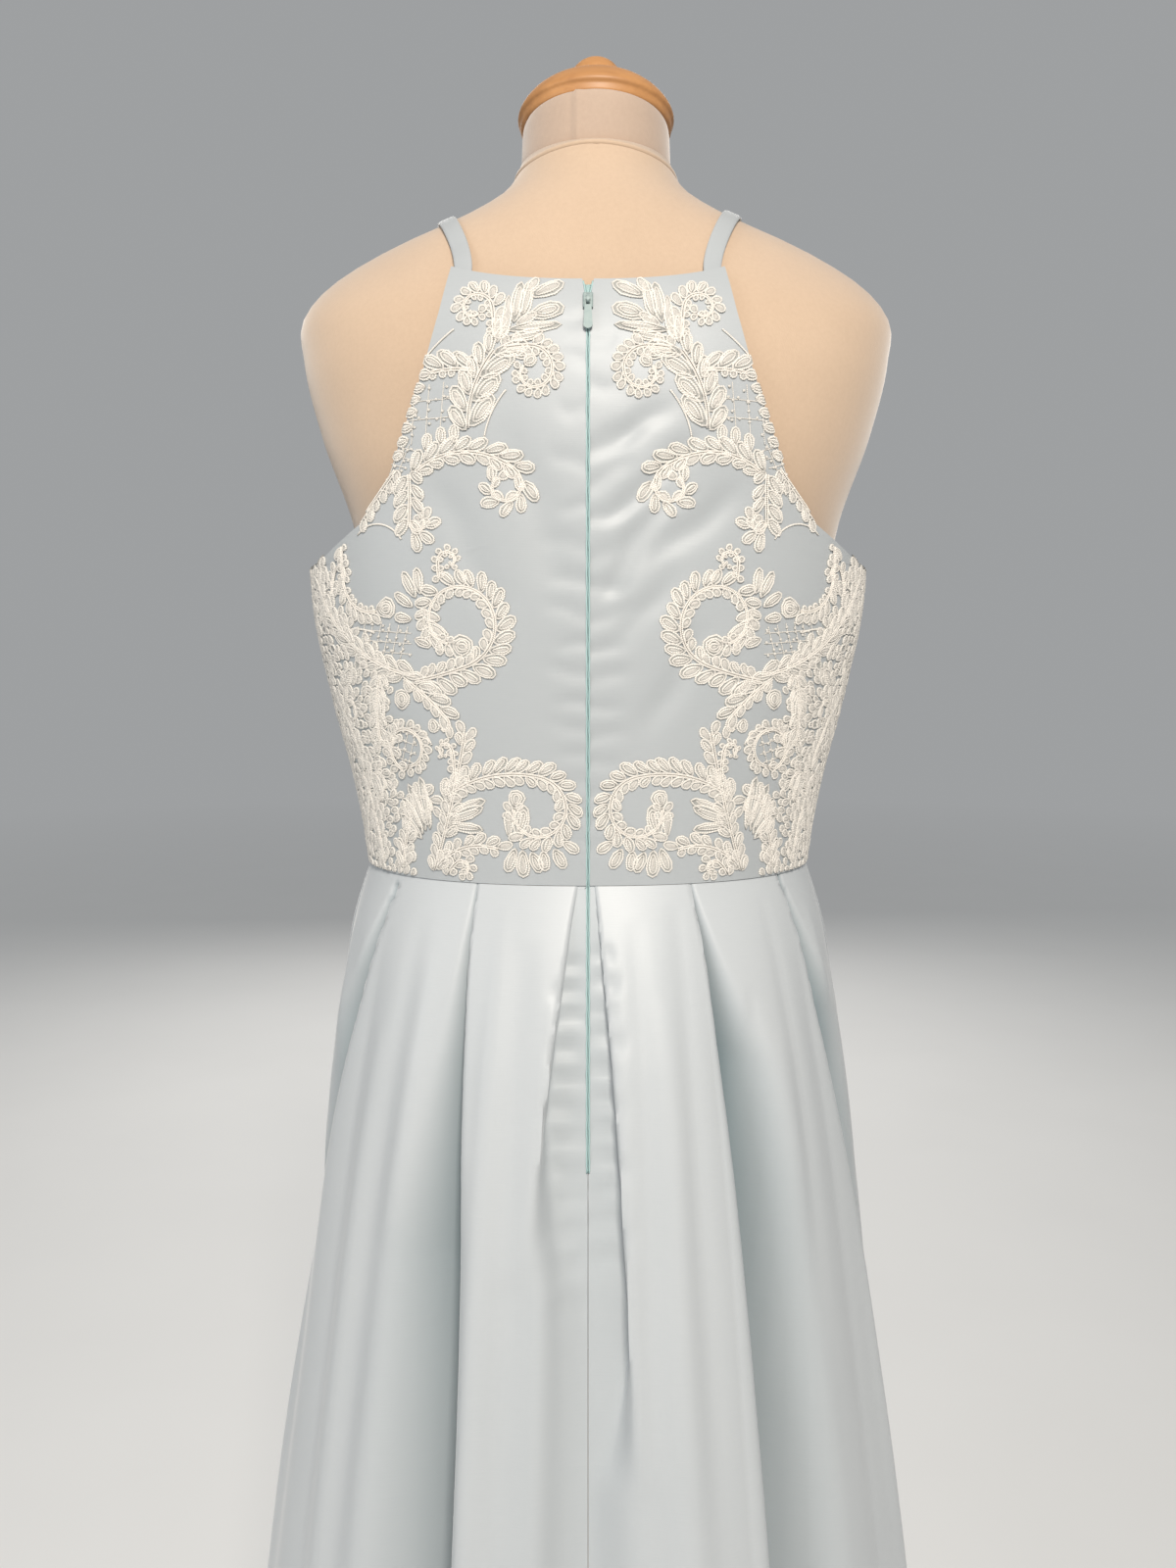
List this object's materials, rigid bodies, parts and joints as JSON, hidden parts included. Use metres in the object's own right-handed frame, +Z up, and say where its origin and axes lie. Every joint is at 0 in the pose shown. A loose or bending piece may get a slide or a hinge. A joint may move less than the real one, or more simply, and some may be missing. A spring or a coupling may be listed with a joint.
{
  "type": "halter cocktail dress on a limbless dress form and stand",
  "caption": "Knee-length halter dress in pale satin with corded scroll lace, pleated skirt and back zip, on a padded dress form and round wooden stand.",
  "frame": {"origin": "centre of the stand base's flat underside, on the floor", "axes": "+Z up the stand and the form; the dress's front faces -Y, its zipped back faces +Y, and +X is on the viewer's left when the back is looked at"},
  "size_m": [0.4694, 0.4006, 1.5059],
  "materials": {
    "satin": "pale blue satin with a soft sheen",
    "lace_satin": "pale blue satin under off-white corded lace",
    "zip_teal": "blue-green woven zip tape and coil",
    "zip_metal": "pale blue lacquered zip metal",
    "jersey": "cream knitted cover over padding",
    "beech": "varnished beech"
  },
  "bodies": {
    "dress_on_form": {"bodice_front": "lace_satin", "bodice_back_left": "lace_satin", "bodice_back_right": "lace_satin", "strap_left": "satin", "strap_right": "satin", "skirt_front": "satin", "skirt_back_left": "satin", "skirt_back_right": "satin", "zip_tape": "zip_teal", "zip_slider": "zip_metal", "form_torso": "jersey", "form_neck": "jersey", "form_neck_cap": "beech", "form_neck_knob": "beech", "stand_plate": "beech", "stand_pole": "beech", "stand_collar": "beech", "stand_base": "beech"},
    "pull": {"zip_pull": "zip_metal"}
  },
  "joints": [
    {"name": "pull_swing", "type": "hinge", "parent": "dress_on_form", "child": "pull", "pos_m": [0.005, 0.10693, 1.3293], "axis": [1, 0, 0], "range_deg": [0, 150]}
  ]
}
